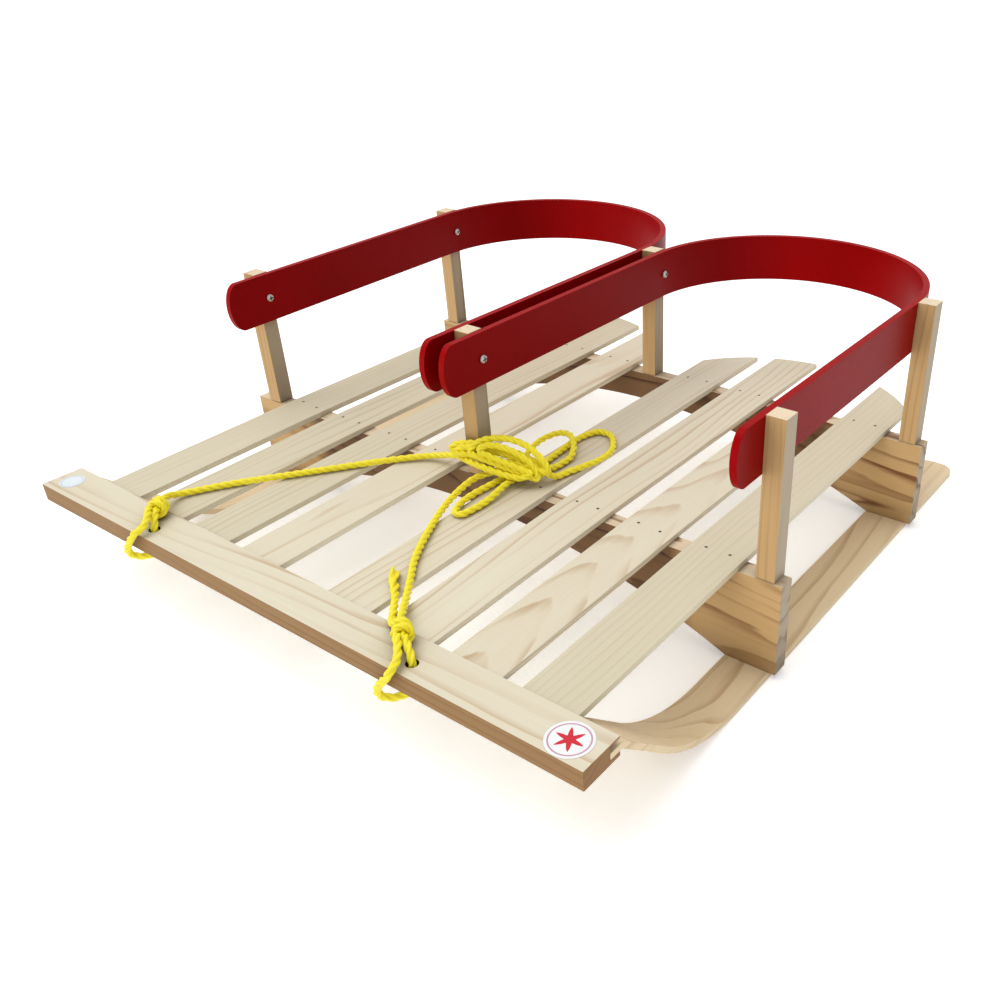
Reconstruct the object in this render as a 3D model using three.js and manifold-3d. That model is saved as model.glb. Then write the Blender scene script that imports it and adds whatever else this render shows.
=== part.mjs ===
// Two-seat wooden baby sleigh, millimetres, +Z up.
// The front of the sleigh faces -Y and its left side is +X.
// The origin is on the ground, under the middle of the whole sleigh's box.
import * as THREE from 'three';
import { mergeVertices } from 'three/addons/utils/BufferGeometryUtils.js';
import Module from 'manifold-3d';

const wasm = await Module();
wasm.setup();

// ---------------------------------------------------------------- driving dimensions

const GAP = 0.3; // clearance where one piece is cut to take another
const OVERRUN = 1; // how far a cutting tool runs past the face that it enters

// front crossbar: a board with a groove along its rear edge
const CROSSBAR_LENGTH = 714;
const CROSSBAR_DEPTH = 43;
const CROSSBAR_TOP = 109.5;
const CROSSBAR_THICKNESS = 19;
const GROOVE_DEPTH = 12;
const ROPE_HOLE_X = 176;
const ROPE_HOLE_Y = 15;
const ROPE_HOLE_DIAMETER = 11;

// runners: thin bent strips
const RUNNER_WIDTH = 48;
const RUNNER_THICKNESS = 6;
const RUNNER_REAR_Y = 760;
const RUNNER_TIP_Z = 98;
const RUNNER_RAMP_DEGREES = 42;
const RUNNER_RAMP_TOP_Y = 46.5;
const RUNNER_BOW_RADIUS = 180;
const RUNNER_TIP_RADIUS = 9;
const RUNNER_CORNER_RADIUS = 18;

// bunks: arched boards that stand on the runners and carry the slats
const BUNK_LENGTH = 726;
const BUNK_THICKNESS = 19;
const BUNK_TOP = 105;
const BUNK_FOOT_WIDTH = 53;
const BUNK_ARCH_TOP = 70;
const BUNK_FRONT_Y = 275;
const BUNK_REAR_Y = 597;

// slats: four to a seat, rear ends cut to an arc
const SLAT_WIDTH = 54.5;
const SLAT_THICKNESS = 6;
const SLAT_PITCH = 74.5;
const SLATS_PER_SEAT = 4;
const SLAT_TONGUE_Z = 101.1;
const SLAT_ARC_RADIUS = 173;
const SLAT_ARC_APEX_Y = 734;
const SLAT_GROUP_X = { right: -166, left: 179.3 };

// posts: square sticks on the bunks
const POST_SIZE = 19;
const POST_TOP = 263.5;
const POST_OUTER_X = 355;
const POST_SETBACK = 1;

// back rails: bent strips, one U to a seat
const RAIL_THICKNESS = 7;
const RAIL_HEIGHT = 54;
const RAIL_TOP = 263;
const RAIL_NOSE_Y = 232; // front ends of the legs
const RAIL_NOSE_DEPTH = 15;
const RAIL_BEND_SETBACK = 3.5; // the bend starts this far behind the rear bunk's front face
const RAIL_TOE_IN_DEGREES = 2.4; // of the right seat's outer leg

// fasteners
const SCREW = { shank: 2, head: 4.3, headHeight: 3, point: 3, grip: 8.2 };
const RUNNER_SCREW = { shank: 1.8, head: 3.6, headHeight: 2.4, point: 3.4, length: 28, inset: 0.4 };
const RUNNER_SCREW_SPACING = 24;
const DOWEL = { radius: 4, half: 24 };

// paper discs stuck on the crossbar
const LABEL_THICKNESS = 0.3;
const LABELS = {
  label_left: { x: 330, y: 19.5, radius: 19 },
  label_right: { x: -335, y: 20.5, radius: 12.5 },
};

// tow rope
const ROPE_DIAMETER = 7;
const ROPE_SIDES = 8;
const ROPE_LEAST_STEPS = 6;
const KNOT_SIZE = [26, 20.8, 20];
const KNOT_Z = 120;
const HANK_START_Y = 268.5; // where the hank's middle plane crosses x = 0
const HANK_SLOPE = 1 / 3; // of that plane, seen from above
const HANK_NEAR = -23; // faces of the hank, measured across that plane
const HANK_FAR = 3.7;

// ---------------------------------------------------------------- derived places

const CROSSBAR_BOTTOM = CROSSBAR_TOP - CROSSBAR_THICKNESS;
const RUNNER_OUTER_X = CROSSBAR_LENGTH / 2;
const RUNNER_INNER_X = RUNNER_OUTER_X - RUNNER_WIDTH;
const RUNNER_TIP_FRONT_Y = CROSSBAR_DEPTH - GROOVE_DEPTH + GAP;
const POST_CENTRE_Y = {
  front: BUNK_FRONT_Y + POST_SETBACK + POST_SIZE / 2,
  rear: BUNK_REAR_Y + POST_SETBACK + POST_SIZE / 2,
};
const SCREW_Z = RAIL_TOP - RAIL_HEIGHT / 2;
const TOE_IN = THREE.MathUtils.degToRad(RAIL_TOE_IN_DEGREES);

// each rail's legs bear on the middle posts and on the inner faces of the outer posts
const RAIL_LEG_INNER_X = POST_SIZE / 2 + RAIL_THICKNESS / 2;
const RAIL_LEG_OUTER_X = POST_OUTER_X - POST_SIZE - RAIL_THICKNESS / 2;
const RAIL_CENTRE_X = (RAIL_LEG_OUTER_X + RAIL_LEG_INNER_X) / 2;
const RAIL_BEND_RADIUS = (RAIL_LEG_OUTER_X - RAIL_LEG_INNER_X) / 2;
const RAIL_BEND_Y = BUNK_REAR_Y + RAIL_BEND_SETBACK;

// ---------------------------------------------------------------- materials

function material(color, roughness, metalness = 0) {
  return new THREE.MeshStandardMaterial({ color, roughness, metalness });
}

const COLOURS = {
  pine: 0xe6d9bf,
  ash: 0xdcc6a2,
  boards: 0xc49a68,
  dowel: 0xd9bf93,
  redPaint: 0x9b0b0d,
  steel: 0xc9ccd0,
  paper: 0xf7f7f4,
  rope: 0xf2dd1a,
};

// ---------------------------------------------------------------- solids

function toSolid(geometry) {
  const plain = geometry.clone();
  plain.deleteAttribute('normal');
  plain.deleteAttribute('uv');
  const merged = mergeVertices(plain, 1e-4);
  const vertProperties = new Float32Array(merged.attributes.position.array);
  const triVerts = new Uint32Array(merged.index.array);
  return new wasm.Manifold(new wasm.Mesh({ numProp: 3, vertProperties, triVerts }));
}

function toGeometry(solid) {
  const mesh = solid.getMesh();
  const geometry = new THREE.BufferGeometry();
  geometry.setAttribute('position', new THREE.BufferAttribute(new Float32Array(mesh.vertProperties), 3));
  geometry.setIndex(new THREE.BufferAttribute(new Uint32Array(mesh.triVerts), 1));
  geometry.computeVertexNormals();
  return geometry;
}

function cut(geometry, tools) {
  let solid = toSolid(geometry);
  for (const tool of tools) {
    solid = solid.subtract(toSolid(tool));
  }
  return toGeometry(solid);
}

function box(x0, x1, y0, y1, z0, z1) {
  const geometry = new THREE.BoxGeometry(x1 - x0, y1 - y0, z1 - z0);
  return geometry.translate((x0 + x1) / 2, (y0 + y1) / 2, (z0 + z1) / 2);
}

// outline drawn in (y, z), extruded along X
function extrudeAlongX(shape, x0, x1, curveSegments = 12) {
  const geometry = new THREE.ExtrudeGeometry(shape, { depth: x1 - x0, bevelEnabled: false, curveSegments });
  const turn = new THREE.Matrix4().makeBasis(
    new THREE.Vector3(0, 1, 0),
    new THREE.Vector3(0, 0, 1),
    new THREE.Vector3(1, 0, 0),
  );
  return geometry.applyMatrix4(turn).translate(x0, 0, 0);
}

// outline drawn in (x, z), extruded along Y
function extrudeAlongY(shape, y0, y1, curveSegments = 12) {
  const geometry = new THREE.ExtrudeGeometry(shape, { depth: y1 - y0, bevelEnabled: false, curveSegments });
  return geometry.rotateX(Math.PI / 2).translate(0, y1, 0);
}

// outline drawn in (x, y), extruded along Z
function extrudeAlongZ(shape, z0, z1, curveSegments = 12) {
  const geometry = new THREE.ExtrudeGeometry(shape, { depth: z1 - z0, bevelEnabled: false, curveSegments });
  return geometry.translate(0, 0, z0);
}

function uprightCylinder(x, y, z0, z1, radius, sides = 12) {
  const geometry = new THREE.CylinderGeometry(radius, radius, z1 - z0, sides);
  return geometry.rotateX(Math.PI / 2).translate(x, y, (z0 + z1) / 2);
}

// solid of revolution about Z, from [radius, z] pairs listed upwards
function turned(profile, sides) {
  const points = profile.map(([radius, z]) => new THREE.Vector2(radius, z));
  return new THREE.LatheGeometry(points, sides).rotateX(Math.PI / 2);
}

function addMesh(group, name, geometry, colour, roughness, metalness) {
  const mesh = new THREE.Mesh(geometry, material(colour, roughness, metalness));
  mesh.name = name;
  group.add(mesh);
  return mesh;
}

// ---------------------------------------------------------------- fasteners

// A fastener points along +Z from its head's outer face at z = 0.
function countersunk({ shank, head, headHeight, point, length }, sides = 8) {
  return turned([[0, 0], [head, 0], [shank, headHeight], [shank, length - point], [0, length]], sides);
}

function panScrew({ shank, head, headHeight, point, grip }, sides = 12) {
  const length = headHeight + RAIL_THICKNESS + grip;
  const dome = [[0, 0], [head * 0.55, 0.2], [head * 0.88, 0.9], [head, 1.9], [head, headHeight]];
  return turned([...dome, [shank, headHeight], [shank, length - point], [0, length]], sides);
}

// the hole that a countersunk screw sits in, wider all round and deeper by GAP
function countersunkHole({ shank, head, headHeight, length, inset }, sides = 8) {
  const end = inset + length + GAP;
  const mouth = [[0, -OVERRUN], [head + GAP, -OVERRUN], [head + GAP, inset]];
  return turned([...mouth, [shank + GAP, inset + headHeight], [shank + GAP, end], [0, end]], sides);
}

// ---------------------------------------------------------------- crossbar and runners

// The groove takes the slats' tongues, and is deeper at both ends to take the runners' tips too.
function buildCrossbar() {
  const half = CROSSBAR_LENGTH / 2;
  const end = half + OVERRUN;
  const grooveFront = CROSSBAR_DEPTH - GROOVE_DEPTH;
  const grooveRear = CROSSBAR_DEPTH + OVERRUN;
  const slatTop = SLAT_TONGUE_Z + SLAT_THICKNESS;
  const tipBottom = RUNNER_TIP_Z - RUNNER_THICKNESS / 2 - GAP;
  const inner = RUNNER_INNER_X - GAP;
  const tools = [
    box(-end, end, grooveFront, grooveRear, SLAT_TONGUE_Z - GAP, slatTop + GAP),
    box(-end, -inner, grooveFront, grooveRear, tipBottom, slatTop),
    box(inner, end, grooveFront, grooveRear, tipBottom, slatTop),
  ];
  for (const x of [-ROPE_HOLE_X, ROPE_HOLE_X]) {
    const bottom = CROSSBAR_BOTTOM - OVERRUN;
    tools.push(uprightCylinder(x, ROPE_HOLE_Y, bottom, CROSSBAR_TOP + OVERRUN, ROPE_HOLE_DIAMETER / 2, 20));
  }
  return cut(box(-half, half, 0, CROSSBAR_DEPTH, CROSSBAR_BOTTOM, CROSSBAR_TOP), tools);
}

// centre line of a runner in (y, z), from the tip in the groove back to the flat rear end
function runnerLine() {
  const ramp = THREE.MathUtils.degToRad(RUNNER_RAMP_DEGREES);
  const flatZ = RUNNER_THICKNESS / 2;
  const tangent = RUNNER_TIP_RADIUS * Math.tan(ramp / 2);
  const tipStart = RUNNER_RAMP_TOP_Y - tangent;
  const tipSteps = 4;
  const bowSteps = 14;
  const line = [[RUNNER_TIP_FRONT_Y, RUNNER_TIP_Z, 0]];
  for (let i = 0; i <= tipSteps; i += 1) {
    const angle = (ramp * i) / tipSteps;
    line.push([
      tipStart + RUNNER_TIP_RADIUS * Math.sin(angle),
      RUNNER_TIP_Z - RUNNER_TIP_RADIUS * (1 - Math.cos(angle)),
      angle,
    ]);
  }
  const bowDrop = RUNNER_BOW_RADIUS * (1 - Math.cos(ramp));
  const bowStart = RUNNER_RAMP_TOP_Y + (RUNNER_TIP_Z - flatZ - bowDrop) / Math.tan(ramp);
  const bowEnd = bowStart + RUNNER_BOW_RADIUS * Math.sin(ramp);
  for (let i = 0; i <= bowSteps; i += 1) {
    const angle = ramp * (1 - i / bowSteps);
    line.push([
      bowEnd - RUNNER_BOW_RADIUS * Math.sin(angle),
      flatZ + RUNNER_BOW_RADIUS * (1 - Math.cos(angle)),
      angle,
    ]);
  }
  line.push([RUNNER_REAR_Y, flatZ, 0]);
  return line;
}

function runnerOutline() {
  const beside = (offset) => runnerLine().map(([y, z, angle]) => (
    new THREE.Vector2(y + offset * Math.sin(angle), z + offset * Math.cos(angle))
  ));
  const half = RUNNER_THICKNESS / 2;
  return new THREE.Shape([...beside(-half), ...beside(half).reverse()]);
}

// plan of a runner, with rounded rear corners
function runnerPlan(x0, x1) {
  const rear = RUNNER_REAR_Y;
  const r = RUNNER_CORNER_RADIUS;
  const plan = new THREE.Shape();
  plan.moveTo(x0, 0);
  plan.lineTo(x1, 0);
  plan.lineTo(x1, rear - r);
  plan.absarc(x1 - r, rear - r, r, 0, Math.PI / 2, false);
  plan.lineTo(x0 + r, rear);
  plan.absarc(x0 + r, rear - r, r, Math.PI / 2, Math.PI, false);
  plan.closePath();
  return plan;
}

function runnerScrewPlaces(side) {
  const x = side * (RUNNER_OUTER_X + RUNNER_INNER_X) / 2;
  const places = [];
  for (const y of [BUNK_FRONT_Y, BUNK_REAR_Y]) {
    for (const step of [-0.5, 0.5]) {
      places.push([x + step * RUNNER_SCREW_SPACING, y + BUNK_THICKNESS / 2]);
    }
  }
  return places;
}

function buildRunner(side) {
  const x0 = side > 0 ? RUNNER_INNER_X : -RUNNER_OUTER_X;
  const x1 = x0 + RUNNER_WIDTH;
  const strip = toSolid(extrudeAlongX(runnerOutline(), x0, x1));
  const plan = toSolid(extrudeAlongZ(runnerPlan(x0, x1), -OVERRUN, CROSSBAR_TOP, 6));
  let solid = strip.intersect(plan);
  for (const [x, y] of runnerScrewPlaces(side)) {
    solid = solid.subtract(toSolid(countersunkHole(RUNNER_SCREW).translate(x, y, 0)));
  }
  return toGeometry(solid);
}

// ---------------------------------------------------------------- posts

// Each post: its centre in plan and its turn about Z. The right seat's outer leg toes in,
// so the post that it is screwed to stands further in and is turned to lie flat on it.
function postPlaces() {
  const outer = POST_OUTER_X - POST_SIZE / 2;
  const places = {};
  for (const [row, y] of Object.entries(POST_CENTRE_Y)) {
    places[`post_${row}_left`] = { x: outer, y, turn: 0 };
    places[`post_${row}_middle`] = { x: 0, y, turn: 0 };
    places[`post_${row}_right`] = { x: -outer, y, turn: 0 };
  }
  const leg = toedLegAt(POST_CENTRE_Y.front);
  const reach = RAIL_THICKNESS / 2 + POST_SIZE / 2 + GAP;
  places.post_front_right = {
    x: leg.x - reach * Math.cos(TOE_IN),
    y: POST_CENTRE_Y.front - reach * Math.sin(TOE_IN),
    turn: TOE_IN,
  };
  return places;
}

// centre line of the right seat's outer rail leg at a given y
function toedLegAt(y) {
  const tangentX = -RAIL_CENTRE_X - RAIL_BEND_RADIUS * Math.cos(TOE_IN);
  const tangentY = RAIL_BEND_Y - RAIL_BEND_RADIUS * Math.sin(TOE_IN);
  return { x: tangentX + (tangentY - y) * Math.tan(TOE_IN), y };
}

// faces of a post that take a rail screw: +1 is the post's left side
function screwedFaces(name) {
  if (name.endsWith('_middle')) {
    return [1, -1];
  }
  return name.endsWith('_left') ? [-1] : [1];
}

// Rail screws in a post's own frame: head on the rail's seat side, shank into the post.
function railScrewIn(face, geometry) {
  const headFace = POST_SIZE / 2 + RAIL_THICKNESS + 2 * GAP + SCREW.headHeight;
  return geometry.rotateY(-face * Math.PI / 2).translate(face * headFace, 0, SCREW_Z);
}

// the hole for a rail screw's shank, through the rail and into the post
function shankTool() {
  const length = SCREW.headHeight + RAIL_THICKNESS + SCREW.grip + 3 * GAP;
  return uprightCylinder(0, 0, 0, length, SCREW.shank + GAP);
}

function buildPost(name) {
  const half = POST_SIZE / 2;
  const tools = screwedFaces(name).map((face) => railScrewIn(face, shankTool()));
  tools.push(uprightCylinder(0, 0, BUNK_TOP - OVERRUN, BUNK_TOP + DOWEL.half + GAP, DOWEL.radius + GAP));
  return cut(box(-half, half, -half, half, BUNK_TOP, POST_TOP), tools);
}

// ---------------------------------------------------------------- bunks and slats

function slatCentres(seat) {
  const centres = [];
  for (let i = 0; i < SLATS_PER_SEAT; i += 1) {
    centres.push(SLAT_GROUP_X[seat] + (i - (SLATS_PER_SEAT - 1) / 2) * SLAT_PITCH);
  }
  return centres;
}

function bunkOutline() {
  const half = BUNK_LENGTH / 2;
  const foot = half - BUNK_FOOT_WIDTH;
  const rise = BUNK_ARCH_TOP - RUNNER_THICKNESS;
  const radius = (foot * foot + rise * rise) / (2 * rise);
  const centreZ = BUNK_ARCH_TOP - radius;
  const spread = Math.asin(foot / radius);
  const outline = new THREE.Shape();
  outline.moveTo(-half, RUNNER_THICKNESS);
  outline.lineTo(-foot, RUNNER_THICKNESS);
  outline.absarc(0, centreZ, radius, Math.PI / 2 + spread, Math.PI / 2 - spread, true);
  outline.lineTo(half, RUNNER_THICKNESS);
  outline.lineTo(half, BUNK_TOP);
  outline.lineTo(-half, BUNK_TOP);
  outline.closePath();
  return outline;
}

function buildBunk(row, y0) {
  const tools = [];
  for (const side of [-1, 1]) {
    for (const [x, y] of runnerScrewPlaces(side)) {
      if (y > y0 && y < y0 + BUNK_THICKNESS) {
        tools.push(countersunkHole(RUNNER_SCREW).translate(x, y, 0));
      }
    }
  }
  for (const [name, place] of Object.entries(postPlaces())) {
    if (name.includes(row)) {
      const bottom = BUNK_TOP - DOWEL.half - GAP;
      tools.push(uprightCylinder(place.x, place.y, bottom, BUNK_TOP + OVERRUN, DOWEL.radius + GAP));
    }
  }
  return cut(extrudeAlongY(bunkOutline(), y0, y0 + BUNK_THICKNESS, 28), tools);
}

// side view of a slat: a level tongue in the groove, a gentle rise, then level over the bunks
function slatOutline() {
  const under = [
    [CROSSBAR_DEPTH - GROOVE_DEPTH + GAP, SLAT_TONGUE_Z],
    [CROSSBAR_DEPTH, SLAT_TONGUE_Z],
    [BUNK_FRONT_Y, BUNK_TOP],
    [SLAT_ARC_APEX_Y + OVERRUN, BUNK_TOP],
  ];
  const points = under.map(([y, z]) => new THREE.Vector2(y, z));
  const over = under.map(([y, z]) => new THREE.Vector2(y, z + SLAT_THICKNESS));
  return new THREE.Shape([...points, ...over.reverse()]);
}

// plan of a whole seat: everything in front of the arc that the rear ends are cut to
function seatPlan(seat) {
  const centreX = SLAT_GROUP_X[seat];
  const centreY = SLAT_ARC_APEX_Y - SLAT_ARC_RADIUS;
  const plan = new THREE.Shape();
  plan.moveTo(centreX - SLAT_ARC_RADIUS, 0);
  plan.lineTo(centreX + SLAT_ARC_RADIUS, 0);
  plan.lineTo(centreX + SLAT_ARC_RADIUS, centreY);
  plan.absarc(centreX, centreY, SLAT_ARC_RADIUS, 0, Math.PI, false);
  plan.closePath();
  return plan;
}

function buildSlat(seat, centreX) {
  const half = SLAT_WIDTH / 2;
  const strip = toSolid(extrudeAlongX(slatOutline(), centreX - half, centreX + half));
  const plan = toSolid(extrudeAlongZ(seatPlan(seat), 0, CROSSBAR_TOP + SLAT_THICKNESS, 40));
  return toGeometry(strip.intersect(plan));
}

// ---------------------------------------------------------------- back rails

// plan of a rail: half a ring with two legs that run forward past their noses. The leg on the
// right toes in by an angle, and the bend is carried on round by as much.
function railPlan(toeIn) {
  const outerR = RAIL_BEND_RADIUS + RAIL_THICKNESS / 2;
  const innerR = RAIL_BEND_RADIUS - RAIL_THICKNESS / 2;
  const legEnd = RAIL_NOSE_Y - OVERRUN - RAIL_BEND_Y;
  const toedEnd = (radius) => [
    -radius * Math.cos(toeIn) - (radius * Math.sin(toeIn) + legEnd) * Math.tan(toeIn),
    legEnd,
  ];
  const plan = new THREE.Shape();
  plan.moveTo(...toedEnd(outerR));
  plan.lineTo(...toedEnd(innerR));
  plan.absarc(0, 0, innerR, Math.PI + toeIn, 0, true);
  plan.lineTo(innerR, legEnd);
  plan.lineTo(outerR, legEnd);
  plan.absarc(0, 0, outerR, 0, Math.PI + toeIn, false);
  plan.closePath();
  return plan;
}

// side view of a rail, in (y, z), with its front end rounded to half an ellipse
function railSideOutline() {
  const half = RAIL_HEIGHT / 2;
  const noseY = RAIL_NOSE_Y + RAIL_NOSE_DEPTH;
  const rearY = RAIL_BEND_Y + RAIL_BEND_RADIUS + RAIL_THICKNESS;
  const outline = new THREE.Shape();
  outline.moveTo(noseY, RAIL_TOP);
  outline.absellipse(noseY, SCREW_Z, RAIL_NOSE_DEPTH, half, Math.PI / 2, (3 * Math.PI) / 2, false, 0);
  outline.lineTo(rearY, RAIL_TOP - RAIL_HEIGHT);
  outline.lineTo(rearY, RAIL_TOP);
  outline.closePath();
  return outline;
}

function buildRail(seat) {
  const centreX = seat === 'left' ? RAIL_CENTRE_X : -RAIL_CENTRE_X;
  const reach = RAIL_BEND_RADIUS + RAIL_THICKNESS;
  const plan = extrudeAlongZ(railPlan(seat === 'right' ? TOE_IN : 0), RAIL_TOP - RAIL_HEIGHT, RAIL_TOP, 32);
  const side = extrudeAlongX(railSideOutline(), centreX - reach, centreX + reach, 10);
  let solid = toSolid(plan.translate(centreX, RAIL_BEND_Y, 0)).intersect(toSolid(side));
  for (const [name, place] of Object.entries(postPlaces())) {
    for (const face of screwedFaces(name)) {
      const tool = railScrewIn(face, shankTool()).rotateZ(place.turn).translate(place.x, place.y, 0);
      solid = solid.subtract(toSolid(tool));
    }
  }
  return toGeometry(solid);
}

// ---------------------------------------------------------------- tow rope

// The rope's route in stretches, as points chosen by hand. A stretch that ends in a knot or in
// the hank is drawn on into it and cut off at its face.
const ROPE_ROUTE = {
  loop_left: [
    [165, 22, 119], [173.5, 17, 113.5], [176, 15, 108], [176, 15, 91], [174, 12.5, 84], [168, 7, 78.5],
    [161, 1, 77], [156, -4.2, 80], [155.8, -7.2, 87.5], [162, -7.8, 98], [170, -7.6, 107],
    [174, -5.5, 114], [170, 6, 119], [160, 19, 119],
  ],
  loop_right: [
    [-187, 27, 120], [-179, 18.5, 115.5], [-176, 15, 108], [-176, 15, 91], [-178.5, 12.5, 84.5],
    [-184.5, 6.5, 81.2], [-191.5, 0.5, 80.8], [-196, -4, 83.5], [-194.5, -7.2, 91], [-188, -7.6, 100],
    [-180.5, -7.4, 108], [-175, -4.8, 115], [-174, 5, 120], [-182, 17, 120],
  ],
  tail_left: [
    [142, 29, 115], [129, 38.5, 114], [116, 52.2, 112.4], [104.6, 64.2, 111.5], [93.2, 74.6, 111.7],
    [81.6, 84.6, 111.9], [66.8, 98.5, 112.2],
  ],
  tail_right: [[-199, 31, 117], [-206, 35, 114], [-213, 40, 113.4]],
  lead_left: [
    [149, 31.5, 120], [141, 37, 119.5], [130, 49.5, 117.6], [112.4, 70, 113], [93.5, 92.8, 112],
    [73.9, 117, 112.4], [54.5, 149.5, 113], [35.5, 188, 113.6], [26.3, 211.5, 114], [19.5, 240, 115],
    [18.5, 257, 115.6], [25, 269, 117.5], [38, 282, 121.8],
  ],
  bow_loop_middle: [
    [50, 286, 122.5], [57, 297, 123.3], [66, 308.5, 119.5], [70, 319, 115.3], [71.5, 334, 115],
    [70.5, 350, 115.8], [61.5, 366, 120.5], [47, 377.5, 123], [32, 378.5, 121], [21.5, 369.5, 117],
    [19.5, 354.5, 115.3], [24, 337.5, 115], [31, 318, 115], [37, 300, 115], [41.5, 276, 115],
  ],
  bow_loop_front: [
    [41.5, 276, 115], [40, 255.5, 114.7], [38, 229, 114.2], [41, 209, 113.9], [47.8, 197, 113.7],
    [54.5, 197.5, 113.7], [57.5, 210, 113.9], [59, 229, 114.6], [58, 248, 117], [55.5, 264, 117.5],
    [54.5, 281, 116],
  ],
  bow_loop_rear: [
    [54.5, 281, 116], [57.5, 303, 115], [54.5, 330, 115], [51.5, 364, 115], [50.5, 392, 115],
    [58.5, 414, 115], [74, 415, 115], [90, 399.5, 115], [99, 381, 115], [100, 361.5, 115],
    [95.5, 343.5, 115], [89, 322, 115], [86, 306, 116], [84, 290, 120],
  ],
  lead_right: [
    [20, 259.5, 129], [9, 261, 128.6], [-2, 264, 128.2], [-12, 267, 127.2], [-27, 268, 124.5],
    [-41, 267.5, 120], [-56, 263.5, 116.5], [-79, 243.5, 114.8], [-99.8, 219.8, 114.2], [-132, 179.5, 113.5],
    [-153.8, 152, 113], [-175.8, 124.4, 112.6], [-190.5, 104.5, 112.2], [-203.3, 84, 112], [-211.5, 66, 113],
    [-208.5, 52, 118], [-200.5, 41.5, 120], [-193, 33, 120],
  ],
};

const KNOTS = {
  left: { x: 150.5, y: 30.3, turn: 147 },
  right: { x: -192, y: 32, turn: 132 },
};

// side view of the hank, along its own length and up, with rounded ends
const HANK_OUTLINE = [
  [-21, 138], [-15, 133], [1, 132.6], [5, 124], [24, 123], [28, 111.4], [84, 111.4], [92, 117],
  [92.5, 128], [85, 138], [70, 149], [50, 157], [28, 159.5], [8, 157], [-12, 148], [-20, 144],
];
const HANK_HALF_HEIGHT = 24;

function tube(points) {
  const path = new THREE.CatmullRomCurve3(points.map((p) => new THREE.Vector3(...p)), false, 'centripetal');
  const section = new THREE.Shape();
  section.absarc(0, 0, ROPE_DIAMETER / 2, 0, 2 * Math.PI, false);
  const steps = Math.max(ROPE_LEAST_STEPS, Math.round(path.getLength() / (2 * ROPE_DIAMETER)));
  const curveSegments = ROPE_SIDES;
  return new THREE.ExtrudeGeometry(section, { steps, bevelEnabled: false, extrudePath: path, curveSegments });
}

function knot({ x, y, turn }, grow = 0) {
  const geometry = new THREE.SphereGeometry(0.5, 12, 8);
  geometry.scale(...KNOT_SIZE.map((size) => size + 2 * grow));
  return geometry.rotateZ(THREE.MathUtils.degToRad(turn)).translate(x, y, KNOT_Z);
}

// the wound and crossing strands that stand against the middle front post
function hank(grow = 0) {
  const middle = new THREE.Box2().setFromPoints(hankCorners()).getCenter(new THREE.Vector2());
  const scale = 1 + grow / HANK_HALF_HEIGHT;
  const grown = hankCorners().map((corner) => corner.sub(middle).multiplyScalar(scale).add(middle));
  const block = extrudeAlongY(new THREE.Shape(grown), HANK_NEAR - grow, HANK_FAR + grow);
  return block.rotateZ(Math.atan(HANK_SLOPE)).translate(0, HANK_START_Y, 0);
}

function hankCorners() {
  return HANK_OUTLINE.map(([along, z]) => new THREE.Vector2(along, z));
}

function addRope(group) {
  const rope = (name, geometry) => addMesh(group, `rope_${name}`, geometry, COLOURS.rope, 0.5);
  const knotTools = Object.values(KNOTS).map((place) => knot(place, GAP));
  rope('hank', hank());
  for (const [side, place] of Object.entries(KNOTS)) {
    rope(`knot_${side}`, knot(place));
  }
  for (const [name, points] of Object.entries(ROPE_ROUTE)) {
    rope(name, cut(tube(points), [...knotTools, hank(GAP)]));
  }
}

// ---------------------------------------------------------------- assembly

function addFrame(group) {
  addMesh(group, 'front_crossbar', buildCrossbar(), COLOURS.pine, 0.6);
  addMesh(group, 'runner_left', buildRunner(1), COLOURS.ash, 0.55);
  addMesh(group, 'runner_right', buildRunner(-1), COLOURS.ash, 0.55);
  addMesh(group, 'bunk_front', buildBunk('front', BUNK_FRONT_Y), COLOURS.boards, 0.65);
  addMesh(group, 'bunk_rear', buildBunk('rear', BUNK_REAR_Y), COLOURS.boards, 0.65);
}

function addSlats(group) {
  let number = 1;
  for (const seat of ['right', 'left']) {
    for (const x of slatCentres(seat)) {
      addMesh(group, `slat_${number}`, buildSlat(seat, x), COLOURS.pine, 0.6);
      number += 1;
    }
  }
}

function addPostsAndRails(group) {
  for (const [name, place] of Object.entries(postPlaces())) {
    placeAsPost(addMesh(group, name, buildPost(name), COLOURS.boards, 0.65), place);
  }
  addMesh(group, 'back_rail_left', buildRail('left'), COLOURS.redPaint, 0.35);
  addMesh(group, 'back_rail_right', buildRail('right'), COLOURS.redPaint, 0.35);
}

function addFasteners(group) {
  for (const side of [-1, 1]) {
    runnerScrewPlaces(side).forEach(([x, y], i) => {
      const name = `runner_screw_${side > 0 ? 'left' : 'right'}_${i + 1}`;
      const screw = addMesh(group, name, countersunk(RUNNER_SCREW), COLOURS.steel, 0.35, 0.9);
      screw.position.set(x, y, RUNNER_SCREW.inset);
    });
  }
  for (const [name, place] of Object.entries(postPlaces())) {
    const screws = screwedFaces(name);
    screws.forEach((face, i) => {
      const suffix = screws.length > 1 ? `_${i + 1}` : '';
      const screwName = `${name.replace('post', 'rail_screw')}${suffix}`;
      const screw = addMesh(group, screwName, railScrewIn(face, panScrew(SCREW)), COLOURS.steel, 0.3, 0.95);
      placeAsPost(screw, place);
    });
    const dowel = uprightCylinder(0, 0, BUNK_TOP - DOWEL.half, BUNK_TOP + DOWEL.half, DOWEL.radius);
    placeAsPost(addMesh(group, name.replace('post', 'dowel'), dowel, COLOURS.dowel, 0.7), place);
  }
}

function placeAsPost(mesh, place) {
  mesh.position.set(place.x, place.y, 0);
  mesh.rotation.z = place.turn;
}

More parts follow.
